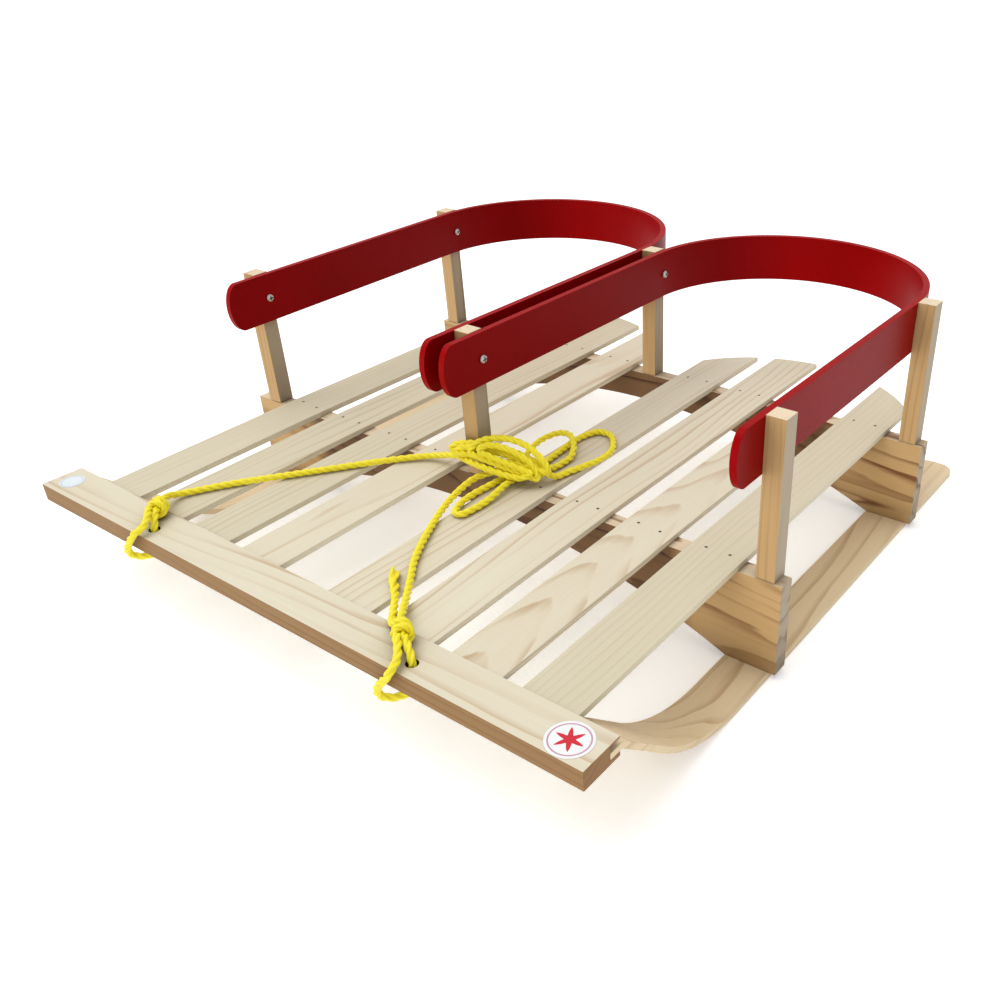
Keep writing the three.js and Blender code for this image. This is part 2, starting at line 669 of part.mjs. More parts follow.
function addLabels(group) {
  for (const [name, { x, y, radius }] of Object.entries(LABELS)) {
    const disc = uprightCylinder(x, y, CROSSBAR_TOP, CROSSBAR_TOP + LABEL_THICKNESS, radius, 28);
    addMesh(group, name, disc, COLOURS.paper, 0.5);
  }
}

// everything above is placed from the crossbar's front edge, so it moves back by half the length
const built = new THREE.Group();
built.position.y = -(RAIL_BEND_Y + RAIL_BEND_RADIUS + RAIL_THICKNESS / 2) / 2;
addFrame(built);
addSlats(built);
addPostsAndRails(built);
addFasteners(built);
addLabels(built);
addRope(built);

const sleigh = new THREE.Group();
sleigh.name = 'two_seat_baby_sleigh';
sleigh.add(built);

export default sleigh;
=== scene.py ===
# Looks of the two-seat wooden baby sleigh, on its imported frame.
# Metres, +Z up, the sleigh's front faces -Y and its left side is +X.
import math
import random

import bmesh
import bpy
from mathutils import Matrix, Vector


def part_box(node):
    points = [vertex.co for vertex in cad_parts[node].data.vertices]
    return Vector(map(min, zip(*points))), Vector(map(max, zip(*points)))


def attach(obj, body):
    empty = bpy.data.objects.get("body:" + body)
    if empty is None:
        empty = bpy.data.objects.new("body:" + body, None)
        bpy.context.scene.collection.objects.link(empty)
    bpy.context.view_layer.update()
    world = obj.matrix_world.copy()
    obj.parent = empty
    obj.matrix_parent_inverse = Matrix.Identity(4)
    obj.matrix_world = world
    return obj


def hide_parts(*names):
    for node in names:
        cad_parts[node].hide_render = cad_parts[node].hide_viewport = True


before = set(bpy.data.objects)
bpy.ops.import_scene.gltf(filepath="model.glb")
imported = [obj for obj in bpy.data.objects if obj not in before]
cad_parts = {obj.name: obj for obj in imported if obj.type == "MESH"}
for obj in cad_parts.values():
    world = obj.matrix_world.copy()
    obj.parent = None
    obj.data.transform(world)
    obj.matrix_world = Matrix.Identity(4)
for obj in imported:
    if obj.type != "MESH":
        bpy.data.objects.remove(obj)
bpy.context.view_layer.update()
MM = 0.001

# ------------------------------------------------------------------ driving dimensions

FRONT_Y = round(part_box("front_crossbar")[0][1], 6)   # the crossbar's front edge

# camera
CAMERA_PLACE = Vector((0.67013, FRONT_Y - 0.37424, 0.60739))
CAMERA_YAW = math.radians(36.172)
CAMERA_DOWN = math.radians(31.528)
CAMERA_ROLL = math.radians(-0.968)
CAMERA_LENS = 35.69
CAMERA_SENSOR = 36
CAMERA_SHIFT = (-0.12557, 0.02245)

# rope
ROPE_DIAMETER = 0.007
ROPE_STRANDS = 3
ROPE_STRAND_TURN = 0.027      # length of rope in which a strand goes once round
ROPE_STEP = 0.0011            # from ring to ring of the mesh
ROPE_SIDES = 30

# Shares of the rope's diameter: a strand's radius, how far its middle is from the rope's, and the
# least radius between two strands. An unlaid end's strands get thinner and stand further apart.
STRAND_RADIUS = 0.275
STRAND_OFFSET = 0.240
ROPE_CORE = 0.12
UNLAID_THINNING = 0.05
UNLAID_SPREAD = 0.30
UNLAID_UNTWIST = 0.8          # share of its twist that the rope has lost at an unlaid end

# knots and hank, in millimetres
KNOT_TURNS = 1.85
KNOT_STEPS = 10               # points to a wrap
KNOT_WRAP_RADIUS = 6.4
KNOT_START_DEGREES = 150
KNOT_PITCH = 7.0              # from wrap to wrap
HANK_TURNS = 3.97
HANK_STEPS = 14               # points to a turn

# eased edges
BOARD_EDGE = 0.0007
RAIL_EDGE = 0.0016
SAME_POINT = 1e-6             # vertices closer than this are one
FLAT_ANGLE = math.radians(0.8)
SHARP_ANGLE = math.radians(35)

# screws: the cross's arm, half width and depth are shares of its size
CROSS_ARM = 0.62
CROSS_HALF_WIDTH = 0.15
CROSS_DEPTH = 0.2
RUNNER_CROSS_SIZE = 0.0032
RUNNER_CROSS_PROUD = 0.00005  # how far a cross stands out of the head
RAIL_CROSS_PROUD = 0.00004
RAIL_SCREW_END = 0.0032       # length of a rail screw's end that its width is measured over

# slat nails, in millimetres
NAIL_RADIUS = 1.55
NAIL_SIDES = 14
NAIL_OFFSET = 13.5            # from the middle of a slat
NAIL_ROWS = {"front": 285, "rear": 607.5}   # over the two bunks
NAIL_SCATTER = (1.2, 1.5)     # across and along the slat
NAIL_LEAN = 0.04              # most that a head slopes

# stickers, as shares of their radius
LABEL_RING_RADIUS = 0.84
LABEL_RING_HALF_WIDTH = 0.035
FLAKE_CORE = 0.24
FLAKE_ARM = 0.42

# floor and light
FLOOR_HALF = 40
FLOOR_GLOW = 0.28             # keeps the floor pale in the shadow
WORLD_LIGHT = 0.74
SUN_LIGHT = 1.4
SUN_FROM = Vector((-0.35, -0.15, 1.0))
SUN_SPREAD = math.radians(55)


# ------------------------------------------------------------------ camera

def add_camera():
    ahead = Vector((
        -math.sin(CAMERA_YAW) * math.cos(CAMERA_DOWN),
        math.cos(CAMERA_YAW) * math.cos(CAMERA_DOWN),
        -math.sin(CAMERA_DOWN),
    ))
    right = Vector((math.cos(CAMERA_YAW), math.sin(CAMERA_YAW), 0))
    up = right.cross(ahead)
    rolled_right = math.cos(CAMERA_ROLL) * right + math.sin(CAMERA_ROLL) * up
    rolled_up = math.cos(CAMERA_ROLL) * up - math.sin(CAMERA_ROLL) * right
    data = bpy.data.cameras.new("camera")
    data.lens = CAMERA_LENS
    data.sensor_width = CAMERA_SENSOR
    data.shift_x, data.shift_y = CAMERA_SHIFT
    camera = add_object("camera", data)
    turn = Matrix((rolled_right, rolled_up, -ahead)).transposed()
    camera.matrix_world = Matrix.Translation(CAMERA_PLACE) @ turn.to_4x4()
    bpy.context.scene.camera = camera


# ------------------------------------------------------------------ small helpers

def place(x, y, z):
    """A point given in millimetres from the crossbar's front edge, in the frame's metres."""
    return Vector((x * MM, y * MM + FRONT_Y, z * MM))


def add_object(name, data):
    item = bpy.data.objects.new(name, data)
    bpy.context.scene.collection.objects.link(item)
    return item


def add_piece(name, mesh, material):
    """A new piece on the sleigh's one body."""
    mesh.materials.append(material)
    piece = add_object(name, mesh)
    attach(piece, "root")
    return piece


def clothe(node, material):
    """Gives a CAD node's own mesh a material, in each of its slots."""
    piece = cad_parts[node]
    for index in range(len(piece.data.materials)):
        piece.data.materials[index] = material
    if not piece.data.materials:
        piece.data.materials.append(material)


def corners(node):
    """The lowest and the highest corner of a CAD node."""
    return [Vector(corner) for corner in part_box(node)]


def nodes_named(*starts):
    return [node for node in sorted(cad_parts) if node.startswith(starts)]


def ring_mesh(name, vertices, sides):
    """A closed mesh through rings of points, with a flat face on its first and its last ring. The
    points go round anticlockwise as seen from beyond the last ring."""
    rings = len(vertices) // sides
    faces = []
    for ring in range(rings - 1):
        for k in range(sides):
            a, b = ring * sides + k, ring * sides + (k + 1) % sides
            faces.append((a, b, b + sides, a + sides))
    faces.append(tuple(reversed(range(sides))))
    faces.append(tuple(range((rings - 1) * sides, rings * sides)))
    mesh = bpy.data.meshes.new(name)
    mesh.from_pydata(vertices, [], faces)
    return mesh


def smooth_line(points, per_span=12):
    """A centripetal Catmull-Rom curve through the points."""
    ends = [points[0] * 2 - points[1], *points, points[-1] * 2 - points[-2]]
    line = []
    for p0, p1, p2, p3 in zip(ends, ends[1:], ends[2:], ends[3:]):
        t1 = math.sqrt((p1 - p0).length)
        t2 = t1 + math.sqrt((p2 - p1).length)
        t3 = t2 + math.sqrt((p3 - p2).length)
        for step in range(per_span):
            t = t1 + (t2 - t1) * step / per_span
            a1 = p0.lerp(p1, t / t1)
            a2 = p1.lerp(p2, (t - t1) / (t2 - t1))
            a3 = p2.lerp(p3, (t - t2) / (t3 - t2))
            b1 = a1.lerp(a2, t / t2)
            b2 = a2.lerp(a3, (t - t1) / (t3 - t1))
            line.append(b1.lerp(b2, (t - t1) / (t2 - t1)))
    line.append(points[-1])
    return line


def evenly(line, step):
    """The same line with its points a step apart."""
    lengths = [0.0]
    for a, b in zip(line, line[1:]):
        lengths.append(lengths[-1] + (b - a).length)
    count = max(2, round(lengths[-1] / step))
    out = []
    at = 0
    for i in range(count + 1):
        want = lengths[-1] * i / count
        while at < len(line) - 2 and lengths[at + 1] < want:
            at += 1
        span = max(lengths[at + 1] - lengths[at], 1e-9)
        out.append(line[at].lerp(line[at + 1], (want - lengths[at]) / span))
    return out


# ------------------------------------------------------------------ rope route

# The route of the CAD's cord solids, in millimetres, from hole to hole. The CAD has closed solids
# in place of the knots and the hank, so the points in and next to those are this script's own.
LEAD_LEFT = [
    (176, 15, 100), (176, 15, 108), (173.5, 17, 113.5), (166.5, 21, 118.5), (157, 26.5, 120),
    (149, 31.5, 120), (141, 37, 119.5), (130, 49.5, 117.6), (112.4, 70, 113), (93.5, 92.8, 112),
    (73.9, 117, 112.4), (54.5, 149.5, 113), (35.5, 188, 113.6), (26.3, 211.5, 114),
    (19.5, 240, 115), (18.5, 257, 115.6), (25, 269, 117.5), (38, 281, 121.8), (50, 289, 122.5),
    (58, 299, 122.6),
]
LOOP_MIDDLE = [
    (66, 308.5, 119.5), (70, 319, 115.3), (71.5, 334, 115), (70.5, 350, 115.8), (61.5, 366, 120.5),
    (47, 377.5, 123), (32, 378.5, 121), (21.5, 369.5, 117), (19.5, 354.5, 115.3), (24, 337.5, 115),
    (31, 318, 115), (37, 300, 115),
]
LOOP_FRONT = [
    (41.5, 276, 115), (40, 255.5, 114.7), (38, 229, 114.2), (41, 209, 113.9), (47.8, 197, 113.7),
    (54.5, 197.5, 113.7), (57.5, 210, 113.9), (59, 229, 114.6), (58, 248, 117), (55.5, 264, 117.5),
    (54.5, 281, 116),
]
LOOP_REAR = [
    (57.5, 303, 115), (54.5, 330, 115), (51.5, 364, 115), (50.5, 392, 115), (58.5, 414, 115),
    (74, 415, 115), (90, 399.5, 115), (99, 381, 115), (100, 361.5, 115), (95.5, 343.5, 115),
    (89, 322, 115), (86, 306, 116),
]
LAST_RUN = [
    (68, 273, 123.5), (56, 267.5, 124.5), (44, 263.5, 126.5), (32, 260.5, 129), (20, 259.5, 130.3),
    (9, 260.8, 130.2), (-2, 263.5, 129),
]
LEAD_RIGHT = [
    (-12, 267.5, 127.2), (-27, 268, 124.5), (-41, 267.5, 120), (-56, 263.5, 116.5), (-79, 243.5, 114.8),
    (-99.8, 219.8, 114.2), (-132, 179.5, 113.5), (-153.8, 152, 113), (-175.8, 124.4, 112.6),
    (-190.5, 104.5, 112.2), (-203.3, 84, 112), (-211.5, 66, 113), (-208.5, 52, 118), (-200.5, 41.5, 120),
    (-193, 33, 120), (-185, 24.5, 120), (-179, 18.5, 115.5), (-176, 15, 108), (-176, 15, 100),
]

# The hank's turns, as stations of a turn and a value. The turns' ends on the low side of x and on
# its high side drift from turn to turn. So do how far the upper run arches up and the lower one
# sags, in millimetres, and how far both lean back.
HANK_LOW_X = [
    (0, (-17, 262, 137.5)), (0.5, (-17, 262, 137.5)), (1.5, (-8, 258.5, 137)), (2.5, (12, 259, 142)),
    (3.5, (23, 261, 146)), (4, (24, 262, 145)),
]
HANK_HIGH_X = [
    (0, (84, 297, 121.5)), (1, (79, 292, 123)), (2, (88, 291, 128)), (3, (80, 282.5, 121.5)),
    (4, (76, 279, 128.5)),
]
HANK_RISE = [(0.25, (15,)), (1.25, (10,)), (2.25, (25,)), (3.25, (15,)), (4, (14,))]
HANK_FALL = [(0.75, (2,)), (1.75, (-1.5,)), (2.75, (3,)), (3.75, (0,)), (4, (0,))]
HANK_LEAN = [(0, (0.12,)), (2, (0.12,)), (2.2, (0.5,)), (4, (0.5,))]


def between(stations, at):
    """The stations' value at a turn, straight between two of them and level beyond the ends."""
    at = max(at, stations[0][0])
    for (t0, v0), (t1, v1) in zip(stations, stations[1:]):
        if at <= t1:
            k = (at - t0) / (t1 - t0)
            return [a + (b - a) * k for a, b in zip(v0, v1)]
    return list(stations[-1][1])


def hank_points():
    points = []
    count = round(HANK_TURNS * HANK_STEPS)
    for i in range(count + 1):
        turn = HANK_TURNS * i / count
        angle = 2 * math.pi * turn
        low = Vector(between(HANK_LOW_X, turn))
        high = Vector(between(HANK_HIGH_X, turn))
        (arch,) = between(HANK_RISE if math.sin(angle) > 0 else HANK_FALL, turn)
        (lean,) = between(HANK_LEAN, turn)
        upward = Vector((0, lean, math.sqrt(1 - lean ** 2)))
        points.append(low.lerp(high, (1 + math.cos(angle)) / 2) + upward * arch * math.sin(angle))
    return points


def main_route():
    stretches = [LEAD_LEFT, LOOP_MIDDLE, LOOP_FRONT, LOOP_REAR, hank_points(), LAST_RUN, LEAD_RIGHT]
    return [place(*point) for stretch in stretches for point in stretch]


# Each end comes out under its hole, goes round the crossbar's front edge and winds round the lead.
# Its strands are unlaid over the last part of its tail, which is given in metres.
END_ROUTES = {
    "left": {
        "loop": [
            (176, 15, 99.5), (176, 15, 91), (174, 12.5, 84), (168, 7, 78.5), (161, 1, 77),
            (156, -4.2, 80), (155.8, -7.2, 87.5), (162, -7.8, 98), (170, -7.6, 107),
            (174, -5.5, 114), (171, 5, 117.5),
        ],
        "knot": (151.5, 29.8, 120),
        "along": (-0.84, 0.54, 0),
        "unlaid": 0.042,
        "tail": [
            (129, 38.5, 114.2), (116, 52.2, 112.4), (104.6, 64.2, 111.5), (93.2, 74.6, 111.7),
            (81.6, 84.6, 111.9), (72, 94, 112.1),
        ],
    },
    "right": {
        "loop": [
            (-176, 15, 99.5), (-176, 15, 91), (-178.5, 12.5, 84.5), (-184.5, 6.5, 81.2),
            (-191.5, 0.5, 80.8), (-196, -4, 83.5), (-194.5, -7.2, 91), (-188, -7.6, 100),
            (-180.5, -7.4, 108), (-175, -4.8, 115), (-173.5, 5, 119),
        ],
        "knot": (-192, 31.5, 120),
        "along": (-0.67, 0.74, 0),
        "unlaid": 0.010,
        "tail": [(-208, 36, 114.2), (-214, 41, 113.6)],
    },
}


def knot_points(end):
    """The wraps round the lead, which runs through the knot's middle."""
    along = Vector(end["along"]).normalized()
    side = Vector((along.y, -along.x, 0))
    count = round(KNOT_TURNS * KNOT_STEPS)
    points = []
    for i in range(count + 1):
        angle = math.radians(KNOT_START_DEGREES) + 2 * math.pi * KNOT_TURNS * i / count
        run = (i / count - 0.5) * KNOT_TURNS * KNOT_PITCH
        ring = side * math.cos(angle) + Vector((0, 0, 1)) * math.sin(angle)
        points.append(Vector(end["knot"]) + along * run + ring * KNOT_WRAP_RADIUS)
    return points


def end_route(end):
    return [place(*point) for point in [*end["loop"], *knot_points(end), *end["tail"]]]


# ------------------------------------------------------------------ rope mesh

def twisted_section(loosened=0.0):
    """Outline of round strands laid together, as (angle, radius) pairs. Loosened strands stand
    further from the middle."""
    strand = ROPE_DIAMETER * (STRAND_RADIUS - UNLAID_THINNING * loosened)
    offset = ROPE_DIAMETER * (STRAND_OFFSET + UNLAID_SPREAD * loosened)
    outline = []
    for i in range(ROPE_SIDES):
        angle = 2 * math.pi * i / ROPE_SIDES
        radius = ROPE_DIAMETER * ROPE_CORE
        for k in range(ROPE_STRANDS):
            away = angle - 2 * math.pi * k / ROPE_STRANDS
            inside = strand ** 2 - (offset * math.sin(away)) ** 2
            if inside > 0:
                radius = max(radius, offset * math.cos(away) + math.sqrt(inside))
        outline.append((angle, radius))
    return outline


def rope_rings(line, unlaid):
    """Rings of points round the line. The strands open out over the unlaid length at its end."""
    laid_section = twisted_section()
    first_open = len(line) - round(unlaid / ROPE_STEP)
    lay = 0.0
    side = (line[1] - line[0]).normalized().orthogonal().normalized()
    vertices = []
    for i, point in enumerate(line):
        ahead = (line[min(i + 1, len(line) - 1)] - line[max(i - 1, 0)]).normalized()
        side = (side - ahead * side.dot(ahead)).normalized()
        up = ahead.cross(side)
        loosened = max(0, i - first_open) * ROPE_STEP / unlaid if unlaid else 0.0
        lay += 2 * math.pi * ROPE_STEP / ROPE_STRAND_TURN * (1 - UNLAID_UNTWIST * loosened)
        for angle, radius in twisted_section(loosened) if loosened else laid_section:
            turned = angle + lay
            vertices.append(point + (side * math.cos(turned) + up * math.sin(turned)) * radius)
    return vertices


def map_lay(mesh):
    """A map whose first number counts strands round the rope, and whose second counts diameters
    along it. The two end faces stay at its origin."""
    layer = mesh.uv_layers.new(name="lay")
    for face in range(len(mesh.polygons) - 2):
        i, k = divmod(face, ROPE_SIDES)
        for corner, (di, dk) in enumerate(((0, 0), (0, 1), (1, 1), (1, 0))):
            around = (k + dk) / ROPE_SIDES * ROPE_STRANDS
            layer.data[4 * face + corner].uv = (around, (i + di) * ROPE_STEP / ROPE_DIAMETER)


def add_cord(name, route, stands_for, material, unlaid=0.0):
    line = evenly(smooth_line(route), ROPE_STEP)
    mesh = ring_mesh(name, rope_rings(line, unlaid), ROPE_SIDES)
    map_lay(mesh)
    mesh.shade_smooth()
    cord = add_piece(name, mesh, material)
    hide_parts(*stands_for)


def add_rope():
    material = rope_material()
    middle = ["hank", "lead_left", "lead_right", "bow_loop_middle", "bow_loop_front", "bow_loop_rear"]
    add_cord("tow_rope", main_route(), [f"rope_{name}" for name in middle], material)
    for side, end in END_ROUTES.items():
        stands_for = [f"rope_{name}_{side}" for name in ("loop", "knot", "tail")]
        add_cord(f"rope_end_{side}", end_route(end), stands_for, material, end["unlaid"])


# ------------------------------------------------------------------ material helpers

# cosines between a surface's normal and a direction
LOOKS_SIDEWAYS = 0.35
LOOKS_ALONG = 0.8


class Nodes:
    """A material's node tree, with short calls to add and link nodes."""

    def __init__(self, name):
        self.material = bpy.data.materials.new(name)
        self.material.use_nodes = True
        self.tree = self.material.node_tree
        self.shader = self.tree.nodes["Principled BSDF"]

    def add(self, kind, inputs=(), **settings):
        node = self.tree.nodes.new(kind)
        for key, value in settings.items():
            setattr(node, key, value)
        for key, value in dict(inputs).items():
            self.feed(node.inputs[key], value)
        return node

    def feed(self, socket, value):
        """Links a socket to another node's output, or sets it to a plain value."""
        if isinstance(value, bpy.types.NodeSocket):
            self.tree.links.new(value, socket)
        else:
            socket.default_value = value

    def finish(self, **sockets):
        """Feeds the shader's own sockets, such as Base_Color, and gives the material."""
        for name, value in sockets.items():
            self.feed(self.shader.inputs[name.replace("_", " ")], value)
        return self.material

    def position(self):
        return self.add("ShaderNodeTexCoord").outputs["Object"]

    def split(self, vector):
        return self.add("ShaderNodeSeparateXYZ", {"Vector": vector}).outputs

    def math(self, operation, a, b=0.0, clamp=False):
        node = self.add("ShaderNodeMath", operation=operation, use_clamp=clamp)
        self.feed(node.inputs[0], a)
        self.feed(node.inputs[1], b)
        return node.outputs[0]

    def scaled(self, value, factor, plus):
        return self.math("ADD", self.math("MULTIPLY", value, factor), plus)

    def above(self, value, least, factor, clamp=False):
        """How far the value is over the least one, times a factor."""
        return self.math("MULTIPLY", self.math("SUBTRACT", value, least, clamp=True), factor, clamp)

    def swing(self, noise, reach):
        """A noise about one half as a shift about nought."""
        return self.math("MULTIPLY", self.math("SUBTRACT", noise, 0.5), reach)

    def distance(self, a, b):
        """How far the point a, b is from the middle."""
        squares = self.math("ADD", self.math("MULTIPLY", a, a), self.math("MULTIPLY", b, b))
        return self.math("SQRT", squares)

    def mix(self, factor, a, b, blend="MIX"):
        node = self.add("ShaderNodeMix", data_type="RGBA", blend_type=blend)
        self.feed(node.inputs["Factor"], factor)
        self.feed(node.inputs["A"], a)
        self.feed(node.inputs["B"], b)
        return node.outputs["Result"]

    def ramp(self, value, stops):
        node = self.add("ShaderNodeValToRGB", {"Fac": value})
        elements = node.color_ramp.elements
        elements[0].position, elements[0].color = stops[0]
        elements[1].position, elements[1].color = stops[-1]
        for position, color in stops[1:-1]:
            elements.new(position).color = color
        return node.outputs["Color"]

    def noise(self, vector, scale=1.0, detail=2.0, roughness=0.5):
        settings = {"Vector": vector, "Scale": scale, "Detail": detail, "Roughness": roughness}
        return self.add("ShaderNodeTexNoise", settings).outputs["Fac"]

    def stretched(self, vector, scale, offset=(0, 0, 0), turn=(0, 0, 0)):
        settings = {"Vector": vector, "Scale": scale, "Location": offset, "Rotation": turn}
        return self.add("ShaderNodeMapping", settings).outputs["Vector"]

    def fall(self, value, start, end, at_start, at_end):
        """Straight from one value to another over a range, and level beyond it."""
        return self.add("ShaderNodeMapRange", {
            "Value": value, "From Min": start, "From Max": end, "To Min": at_start, "To Max": at_end,
        }).outputs["Result"]

    def facing(self, direction):
        """1 where the surface looks along the direction, 0 where it looks away or sideways."""
        normal = self.add("ShaderNodeNewGeometry").outputs["True Normal"]
        along = self.add("ShaderNodeVectorMath", {0: normal, 1: direction}, operation="DOT_PRODUCT")
        return self.fall(along.outputs["Value"], LOOKS_SIDEWAYS, LOOKS_ALONG, 0.0, 1.0)

    def bump(self, height, strength, distance):
        settings = {"Height": height, "Strength": strength, "Distance": distance}
        return self.add("ShaderNodeBump", settings).outputs["Normal"]


def rgb(red, green, blue):
    """Colour from 0-255 screen values, as linear light."""
    linear = []
    for value in (red, green, blue):
        v = value / 255
        linear.append(v / 12.92 if v <= 0.04045 else ((v + 0.055) / 1.055) ** 2.4)
    return (*linear, 1.0)


# ------------------------------------------------------------------ rope material

def rope_material():
    nodes = Nodes("rope_yellow")
    lay = nodes.add("ShaderNodeUVMap", uv_map="lay").outputs["UV"]
    fibres = nodes.noise(nodes.stretched(lay, (26, 3.2, 1), turn=(0, 0, 0.5)), detail=3, roughness=0.6)
    patches = nodes.noise(nodes.stretched(lay, (0.6, 0.22, 1)))
    shade = nodes.ramp(fibres, [
        (0.25, rgb(226, 200, 4)), (0.5, rgb(250, 236, 24)), (0.75, rgb(255, 250, 96)),
    ])
    return nodes.finish(
        Base_Color=nodes.mix(nodes.math("MULTIPLY", patches, 0.3), shade, rgb(250, 222, 10)),
        Roughness=nodes.scaled(fibres, 0.25, plus=0.3),
        Subsurface_Weight=0.12,
        Subsurface_Radius=(0.6, 0.5, 0.05),
        Subsurface_Scale=0.002,
        Normal=nodes.bump(fibres, strength=0.6, distance=0.0004),
    )


# ------------------------------------------------------------------ wood materials

# Share of the colour that faces keep which look forward, left, right and up: painted light and
# shade by the way a face looks, lighter on the tops and darker where turned from the light. On the
# crossbar's front edge and ends it is partly the wood's darker edge and end grain as well.
CROSSBAR_EDGE_GRAIN_AND_SHADE = (
    ((0, -1, 0), (0.44, 0.27, 0.13)),
    ((1, 0, 0), (0.36, 0.20, 0.09)),
    ((-1, 0, 0), (0.36, 0.22, 0.12)),
)
# Boards: painted light and shade only, warmer and darker in front, greyer on the left, lighter on top.
BOARD_PAINTED_LIGHT_AND_SHADE = (
    ((0, -1, 0), (0.86, 0.72, 0.50)),
    ((1, 0, 0), (0.52, 0.55, 0.60)),
    ((-1, 0, 0), (0.80, 0.74, 0.62)),
    ((0, 0, 1), (1.08, 1.14, 1.24)),
)

# A bunk's front face is in the slats' shade up to this far from the sleigh's middle, and out of
# it past the fade.
SLATS_SHADE_HALF = 0.245
SLATS_SHADE_FADE = 0.03
SLATS_SHADE_SHARE = (0.34, 0.28, 0.26, 1.0)

# Noises of the wood: how fine they are across and along the fibres.
RING_BEND = (22, 3.0)
RING_RIPPLE = (90, 9)
RING_STRENGTH = (46, 2.2)
FIBRES = (900, 14)
CLOUDS = (16, 2.5)
BEND_TO_RIPPLE = 8            # how many times as far as a ripple a bend moves a ring
SEED_SHIFT = (0.37, 0.91, 0.53)

# How much late wood there is across one growth ring, from none to all.
BLACK, DIM, WHITE = (0, 0, 0, 1), (0.12, 0.12, 0.12, 1), (1, 1, 1, 1)
ONE_RING = [(0.0, BLACK), (0.62, DIM), (0.88, WHITE), (0.94, WHITE), (1.0, BLACK)]

# Painted shade: where other surfaces stand close, they shut out part of the open air, and the
# colour is darkened towards this one as if in their shadow.
HOLLOW_PAINTED_SHADE = rgb(54, 36, 22)
HOLLOW_SHADE_REACH = 0.07
HOLLOW_SHADE_BELOW = 0.9            # share of open air under which it gets darker

# turns that lay the fibres' axis along Y
GRAIN_TURNS = {"X": (0, 0, math.pi / 2), "Y": (0, 0, 0), "Z": (-math.pi / 2, 0, 0)}


def wood_material(name, grain, tones, seed, heart, ring, line, tilt=0.02, wander=0.35, tone_and_shade_by_facing=(),
                  hollow_shade_amount=0.17, under_slats=False):
    """Wood whose fibres run along one axis. The growth rings are circles, a ring apart, round a
    heart line beside the board, so a far heart gives straight lines and a near, tilted one gives
    arches. Line is how dark they are, and wander how crooked. Tones are those of the light wood,
    its clouds, the late wood and the fibres. The hollows amount is how much painted shade darkens
    the wood where other pieces stand close to it. The shares by facing darken or lighten faces that
    look one way: painted light and shade, and on the crossbar partly its darker edge and end grain."""
    nodes = Nodes(name)
    position = nodes.position()
    turned = nodes.add("ShaderNodeVectorRotate", {"Vector": position}, rotation_type="EULER_XYZ")
    turned.inputs["Rotation"].default_value = GRAIN_TURNS[grain]
    local = turned.outputs["Vector"]
    shift = tuple(seed * step for step in SEED_SHIFT)

    def fibrous(fineness, offset, detail, roughness=0.5):
        across, along = fineness
        space = nodes.stretched(local, (across, along, across), offset)
        return nodes.noise(space, detail=detail, roughness=roughness)

    bend = nodes.swing(fibrous(RING_BEND, shift, 1.0), wander * BEND_TO_RIPPLE)
    ripple = nodes.swing(fibrous(RING_RIPPLE, shift, 2.0), wander)
    shown = nodes.above(fibrous(RING_STRENGTH, (7.7, 3.1 + seed, 1.3), 2.0), 0.34, 5 * line)
    lines = ring_lines(nodes, local, heart, tilt, ring, bend, ripple)
    late_wood = nodes.math("MULTIPLY", lines, shown, clamp=True)
    fibres = fibrous(FIBRES, shift, 3.0, roughness=0.65)
    colour = nodes.mix(fibrous(CLOUDS, (3.3 + seed, 0.4, 8.8), 3.0), tones[0], tones[1])
    colour = nodes.mix(late_wood, colour, tones[2])
    colour = nodes.mix(nodes.above(fibres, 0.35, 0.5), colour, tones[3])
    # Painted light and shade by the way each face looks; on the crossbar partly its darker edge and end
    # grain.
    for direction, share in tone_and_shade_by_facing:
        colour = nodes.mix(nodes.facing(direction), colour, (*share, 1.0), "MULTIPLY")
    if under_slats:
        colour = shade_under_slats(nodes, position, colour)
    height = nodes.scaled(fibres, 0.7, plus=nodes.math("MULTIPLY", late_wood, 0.5))
    return nodes.finish(
        Base_Color=paint_hollow_shade(nodes, colour, hollow_shade_amount),
        Roughness=nodes.scaled(fibres, 0.18, plus=0.51),
        Specular_IOR_Level=0.25,
        Normal=nodes.bump(height, strength=0.35, distance=0.0003),
    )


def ring_lines(nodes, local, heart, tilt, ring, bend, ripple):
    """How much late wood there is at a point: circles round the heart line, moved by bend and
    ripple. The heart line slopes along the fibres by the tilt."""
    place_in_log = nodes.split(local)
    across = nodes.math("SUBTRACT", place_in_log["X"], heart[0])
    slope = nodes.math("MULTIPLY", place_in_log["Y"], tilt)
    lift = nodes.math("ADD", nodes.math("SUBTRACT", place_in_log["Z"], heart[1]), slope)
    rings_out = nodes.math("DIVIDE", nodes.distance(across, lift), ring)
    moved = nodes.math("ADD", nodes.math("ADD", rings_out, bend), ripple)
    return nodes.ramp(nodes.math("FRACT", moved), ONE_RING)


def shade_under_slats(nodes, position, colour):
    sideways = nodes.math("ABSOLUTE", nodes.split(position)["X"])
    inward = nodes.fall(sideways, SLATS_SHADE_HALF, SLATS_SHADE_HALF + SLATS_SHADE_FADE, 1.0, 0.0)
    shaded = nodes.math("MULTIPLY", inward, nodes.facing((0, -1, 0)))
    return nodes.mix(shaded, colour, SLATS_SHADE_SHARE, "MULTIPLY")


# Painted shade in crevices and between pieces, darker where a point sees less open air.
def paint_hollow_shade(nodes, colour, amount):
    occlusion = nodes.add("ShaderNodeAmbientOcclusion", {"Distance": HOLLOW_SHADE_REACH}, samples=6)
    closed = nodes.math("SUBTRACT", HOLLOW_SHADE_BELOW, occlusion.outputs["AO"], clamp=True)
    return nodes.mix(nodes.math("MULTIPLY", closed, 3.0 * amount, clamp=True), colour, HOLLOW_PAINTED_SHADE)


